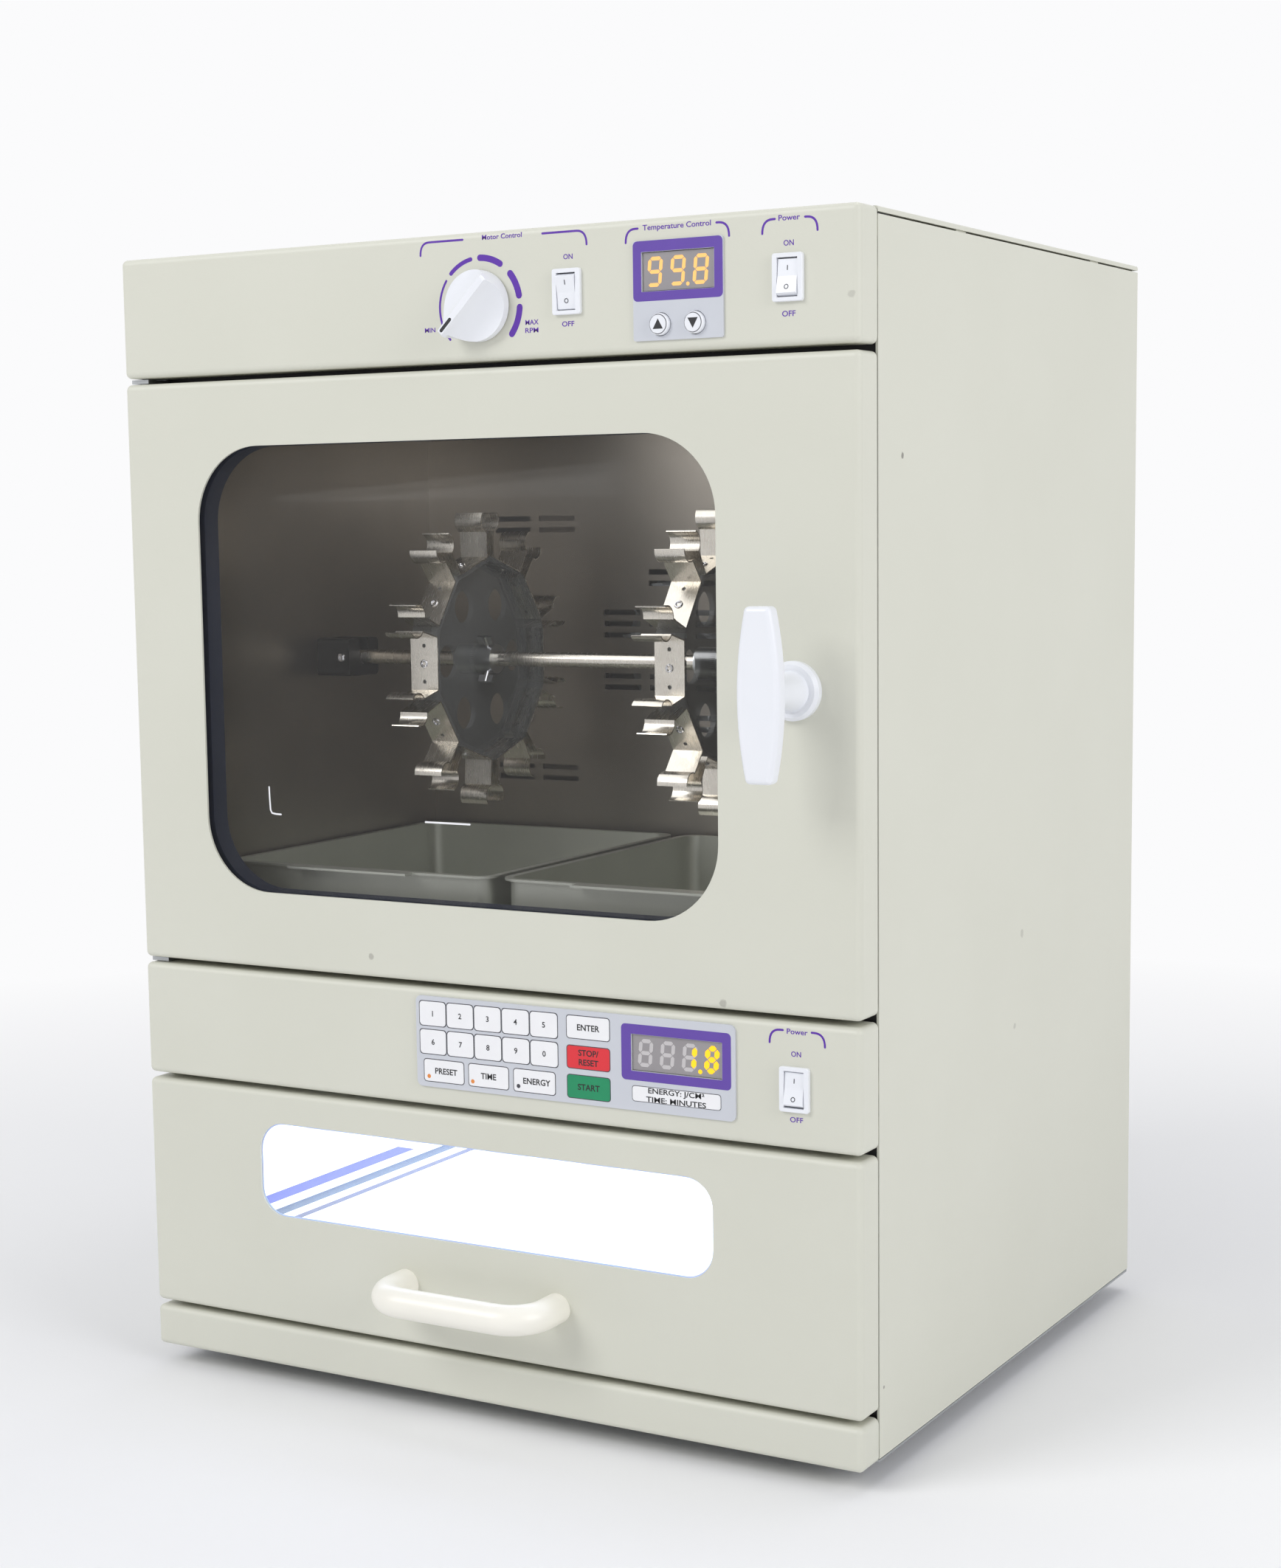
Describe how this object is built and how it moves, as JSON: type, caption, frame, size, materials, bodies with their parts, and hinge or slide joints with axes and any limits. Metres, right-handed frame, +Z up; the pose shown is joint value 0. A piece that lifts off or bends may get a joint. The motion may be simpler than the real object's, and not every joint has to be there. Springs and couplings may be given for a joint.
{
  "type": "hybridization oven",
  "caption": "Bench oven with a windowed hinged door, a turning bottle carousel behind it, and a lit drawer chamber with a window below.",
  "frame": {"origin": "centre of the whole object's box, on the surface that its feet stand on", "axes": "+Z up; the front with its doors and controls faces -Y; +X is the user's right"},
  "size_m": [0.415, 0.407, 0.583],
  "materials": {
    "cream_paint": "fine textured enamel",
    "inner_steel": "plain zinc-coated sheet",
    "chamber_steel": "brushed stainless sheet",
    "polished_steel": "polished stainless sheet",
    "clip_steel": "bright spring steel",
    "chrome": "polished",
    "rubber_black": "matte",
    "seal_grey": "matte",
    "window_glass": "clear, slightly tinted",
    "window_acrylic": "clear acrylic",
    "spacer_plastic": "dark blue grey",
    "wheel_acrylic": "clear moulded plastic",
    "white_plastic": "smooth",
    "handle_cream": "smooth, cream white",
    "black_plastic": "fine grain",
    "overlay_grey": "printed film on a plate",
    "display_violet": "dark lens over lit digits",
    "motor_grey": "satin",
    "aluminium": "machined",
    "heater_steel": "heat-darkened sheath",
    "blanket": "mineral wool blanket",
    "tube_glass": "lit tube"
  },
  "bodies": {
    "cabinet": {"base_pan": "inner_steel", "left_side_panel": "cream_paint", "right_side_panel": "cream_paint", "top_cover": "cream_paint", "back_panel": "cream_paint", "front_frame": "cream_paint", "control_fascia": "cream_paint", "lower_fascia": "cream_paint", "kick_plate": "cream_paint", "feet": "rubber_black", "hinge_brackets": "inner_steel", "oven_liner": "chamber_steel", "oven_insulation": "blanket", "air_baffle": "chamber_steel", "door_seal": "seal_grey", "drip_trays": "chamber_steel", "fan_motor": "motor_grey", "heater_element": "heater_steel", "temperature_probe": "chamber_steel", "shaft_bearing_block": "black_plastic", "gear_motor": "motor_grey", "uv_chamber_liner": "polished_steel", "uv_tubes": "tube_glass", "tube_sockets": "white_plastic", "ballasts": "inner_steel", "drawer_channels": "inner_steel", "switch_housings": "white_plastic", "speed_potentiometer": "inner_steel", "temperature_panel": "overlay_grey", "temperature_display": "display_violet", "keypad_overlay": "overlay_grey", "keypad_display": "display_violet", "power_inlet": "black_plastic"},
    "oven_door": {"oven_door_shell": "cream_paint", "oven_door_inner_pan": "cream_paint", "oven_window_panes": "window_glass", "window_spacer": "spacer_plastic", "hinge_pins": "inner_steel", "latch_rosette": "white_plastic"},
    "latch": {"latch_handle": "handle_cream", "latch_cam": "inner_steel"},
    "carousel": {"carousel_shaft": "clip_steel", "left_wheel": "wheel_acrylic", "right_wheel": "wheel_acrylic", "wheel_hubs": "aluminium", "thumb_screws": "chrome", "left_bottle_clips": "clip_steel", "right_bottle_clips": "clip_steel"},
    "fan": {"fan_wheel": "aluminium"},
    "speed_knob": {"speed_knob": "white_plastic"},
    "motor_rocker": {"motor_rocker": "white_plastic"},
    "oven_rocker": {"oven_rocker": "white_plastic"},
    "uv_rocker": {"uv_rocker": "white_plastic"},
    "up_button": {"up_button": "white_plastic"},
    "down_button": {"down_button": "white_plastic"},
    "uv_drawer": {"drawer_front": "cream_paint", "drawer_window": "window_acrylic", "drawer_tray": "polished_steel", "drawer_slides": "inner_steel", "drawer_handle": "handle_cream"}
  },
  "joints": [
    {"name": "door_hinge", "type": "hinge", "parent": "cabinet", "child": "oven_door", "pos_m": [-0.2015, -0.156, 0.371], "axis": [0, 0, -1], "range_deg": [0, 110]},
    {"name": "latch_turn", "type": "hinge", "parent": "oven_door", "child": "latch", "pos_m": [0.175, -0.1855, 0.3705], "axis": [0, 1, 0], "range_deg": [0, 90]},
    {"name": "carousel_spin", "type": "hinge", "parent": "cabinet", "child": "carousel", "pos_m": [-0.0133, -0.0205, 0.3735], "axis": [1, 0, 0], "continuous": true},
    {"name": "fan_spin", "type": "hinge", "parent": "cabinet", "child": "fan", "pos_m": [-0.0133, 0.0965, 0.3735], "axis": [0, 1, 0], "continuous": true},
    {"name": "speed_knob_turn", "type": "hinge", "parent": "cabinet", "child": "speed_knob", "pos_m": [0.011, -0.1735, 0.5485], "axis": [0, 1, 0], "range_deg": [0, 270]},
    {"name": "motor_switch", "type": "hinge", "parent": "cabinet", "child": "motor_rocker", "pos_m": [0.0596, -0.164, 0.5526], "axis": [-1, 0, 0], "range_deg": [0, 18]},
    {"name": "oven_switch", "type": "hinge", "parent": "cabinet", "child": "oven_rocker", "pos_m": [0.1732, -0.164, 0.5526], "axis": [1, 0, 0], "range_deg": [0, 18]},
    {"name": "uv_switch", "type": "hinge", "parent": "cabinet", "child": "uv_rocker", "pos_m": [0.1743, -0.164, 0.1882], "axis": [1, 0, 0], "range_deg": [0, 18]},
    {"name": "up_press", "type": "slide", "parent": "cabinet", "child": "up_button", "axis": [0, 1, 0], "range_m": [0, 0.0008], "stiffness_N_per_m": 400},
    {"name": "down_press", "type": "slide", "parent": "cabinet", "child": "down_button", "axis": [0, 1, 0], "range_m": [0, 0.0008], "stiffness_N_per_m": 400},
    {"name": "drawer_slide", "type": "slide", "parent": "cabinet", "child": "uv_drawer", "axis": [0, -1, 0], "range_m": [0, 0.22]}
  ]
}
